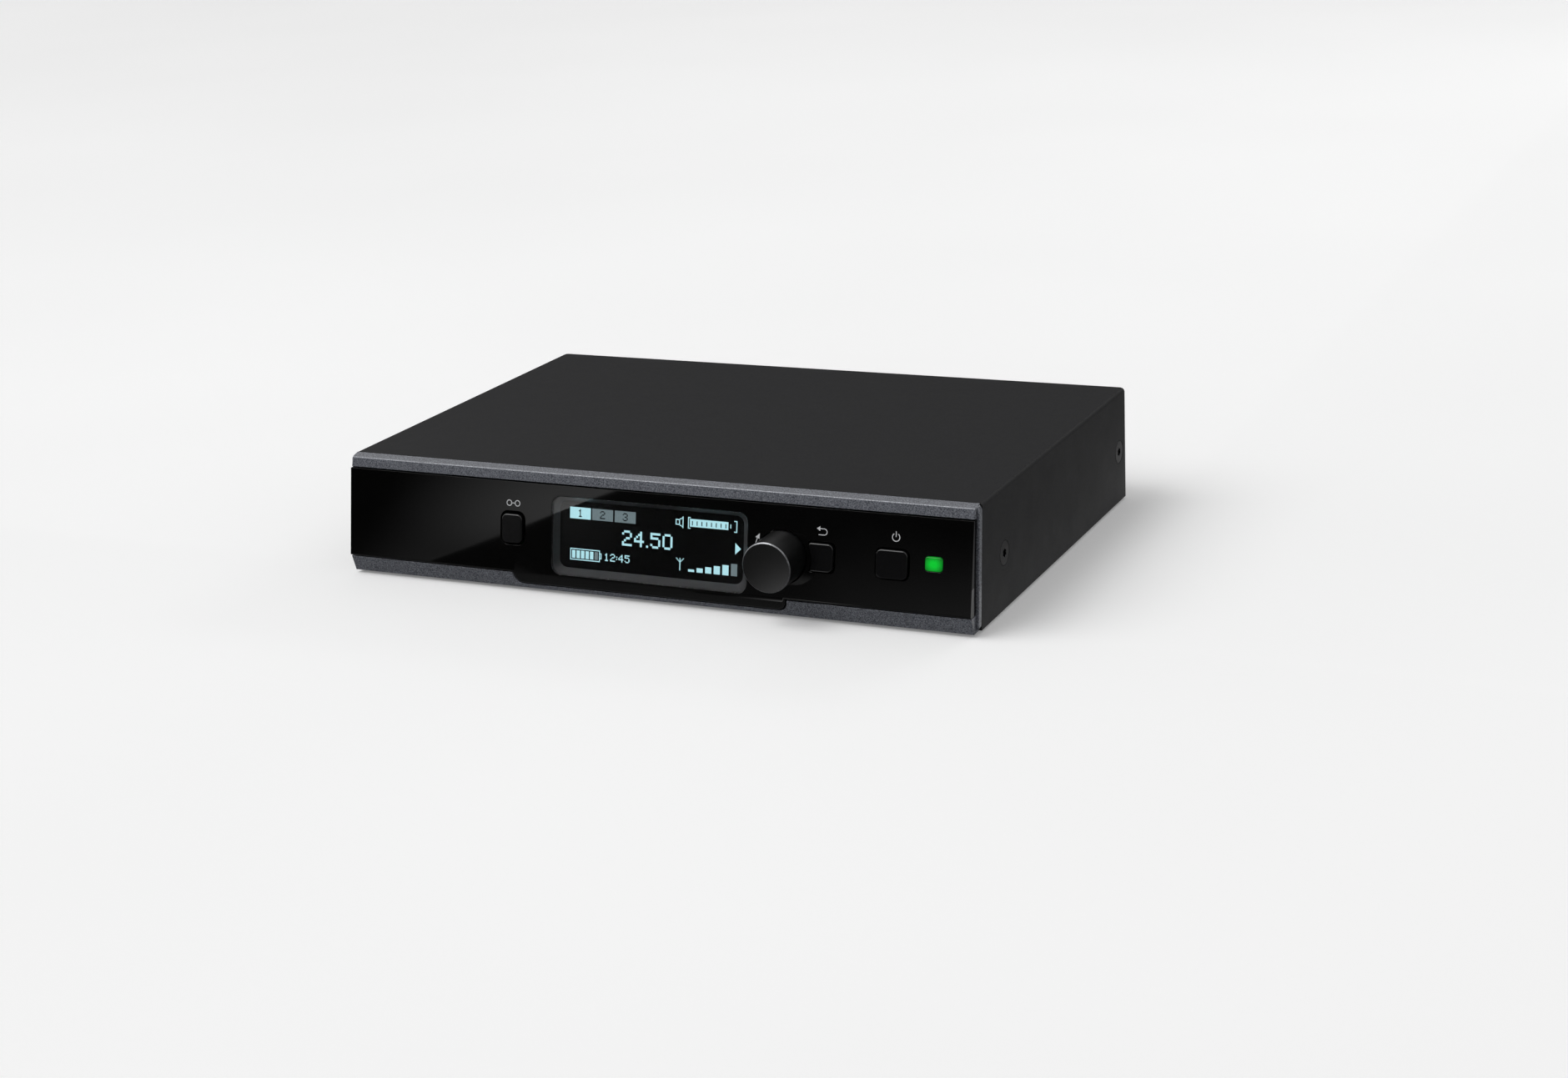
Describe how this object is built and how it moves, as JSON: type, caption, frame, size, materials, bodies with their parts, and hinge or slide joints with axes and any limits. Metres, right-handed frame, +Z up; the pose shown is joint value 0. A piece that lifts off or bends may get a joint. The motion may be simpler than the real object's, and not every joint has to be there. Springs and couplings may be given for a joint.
{
  "type": "wireless receiver unit",
  "caption": "Half-rack audio receiver: folded steel case, leaning gloss front with display, push-turn knob, push buttons, lit status window and rear sockets.",
  "frame": {"origin": "centre of the bounding box in X and Y, at the underside of the feet", "axes": "+X to the right seen from the front, +Y to the rear panel, +Z up"},
  "size_m": [0.212, 0.1592, 0.038],
  "materials": {
    "powder_coat": "satin black powder coat",
    "chassis_steel": "zinc plated sheet",
    "bezel_paint": "grey metallic fleck paint",
    "panel_gloss": "gloss black acrylic",
    "window_clear": "clear acrylic",
    "frame_satin": "satin moulded",
    "display_glass": "black screen with pale segments",
    "button_plastic": "satin moulded",
    "knob_plastic": "fine matt with a bright chamfer",
    "status_green": "lit green diffuser",
    "circuit_board": "green solder mask",
    "component_black": "moulded",
    "nickel": "nickel plate",
    "tinned_steel": "tinned sheet",
    "gold_plate": "gold plate",
    "black_screw": "black zinc",
    "foot_rubber": "moulded",
    "cable_sleeve": "smooth sleeve",
    "ribbon_grey": "flat cable insulation",
    "capacitor_can": "sleeved can"
  },
  "bodies": {
    "casing": {"top_cover": "powder_coat", "rear_panel": "powder_coat", "base_chassis": "chassis_steel", "front_bezel": "bezel_paint", "front_panel": "panel_gloss", "display_window": "window_clear", "display_frame": "frame_satin", "display_module": "display_glass", "link_switch": "component_black", "back_switch": "component_black", "power_switch": "component_black", "light_pipe": "status_green", "status_lamp": "component_black", "encoder_body": "tinned_steel", "front_board": "circuit_board", "main_board": "circuit_board", "ribbon_cable": "ribbon_grey", "radio_board": "circuit_board", "radio_can": "tinned_steel", "left_aerial_lead": "cable_sleeve", "right_aerial_lead": "cable_sleeve", "signal_processor": "component_black", "audio_converter": "component_black", "power_coil": "component_black", "capacitor_1": "capacitor_can", "capacitor_2": "capacitor_can", "xlr_socket": "component_black", "xlr_contacts": "component_black", "socket_screw_1": "black_screw", "socket_screw_2": "black_screw", "jack_socket": "component_black", "jack_nut": "nickel", "left_aerial_socket": "gold_plate", "right_aerial_socket": "gold_plate", "left_aerial_nut": "nickel", "right_aerial_nut": "nickel", "power_inlet": "component_black", "data_port": "nickel", "cable_hook": "black_screw", "left_screw_front": "black_screw", "left_screw_rear": "black_screw", "right_screw_front": "black_screw", "right_screw_rear": "black_screw", "board_screw_1": "tinned_steel", "board_screw_2": "tinned_steel", "board_screw_3": "tinned_steel", "board_screw_4": "tinned_steel", "foot_1": "foot_rubber", "foot_2": "foot_rubber", "foot_3": "foot_rubber", "foot_4": "foot_rubber"},
    "rotor": {"encoder_rotor": "component_black"},
    "knob": {"control_knob": "knob_plastic", "encoder_shaft": "nickel"},
    "link_key": {"link_button": "button_plastic", "link_plunger": "component_black"},
    "back_key": {"back_button": "button_plastic", "back_plunger": "component_black"},
    "power_key": {"power_button": "button_plastic", "power_plunger": "component_black"}
  },
  "joints": [
    {"name": "knob_turn", "type": "hinge", "parent": "casing", "child": "rotor", "pos_m": [0.0457, -0.0796, 0.0189], "axis": [0, 1, 0], "continuous": true},
    {"name": "knob_push", "type": "slide", "parent": "rotor", "child": "knob", "axis": [0, 1, 0], "range_m": [0, 0.0006], "stiffness_N_per_m": 4000, "springref_m": -0.0002},
    {"name": "link_press", "type": "slide", "parent": "casing", "child": "link_key", "axis": [0, 1, 0], "range_m": [0, 0.0005], "stiffness_N_per_m": 4000, "springref_m": -0.0002},
    {"name": "back_press", "type": "slide", "parent": "casing", "child": "back_key", "axis": [0, 1, 0], "range_m": [0, 0.0005], "stiffness_N_per_m": 4000, "springref_m": -0.0002},
    {"name": "power_press", "type": "slide", "parent": "casing", "child": "power_key", "axis": [0, 1, 0], "range_m": [0, 0.0005], "stiffness_N_per_m": 4000, "springref_m": -0.0002}
  ]
}
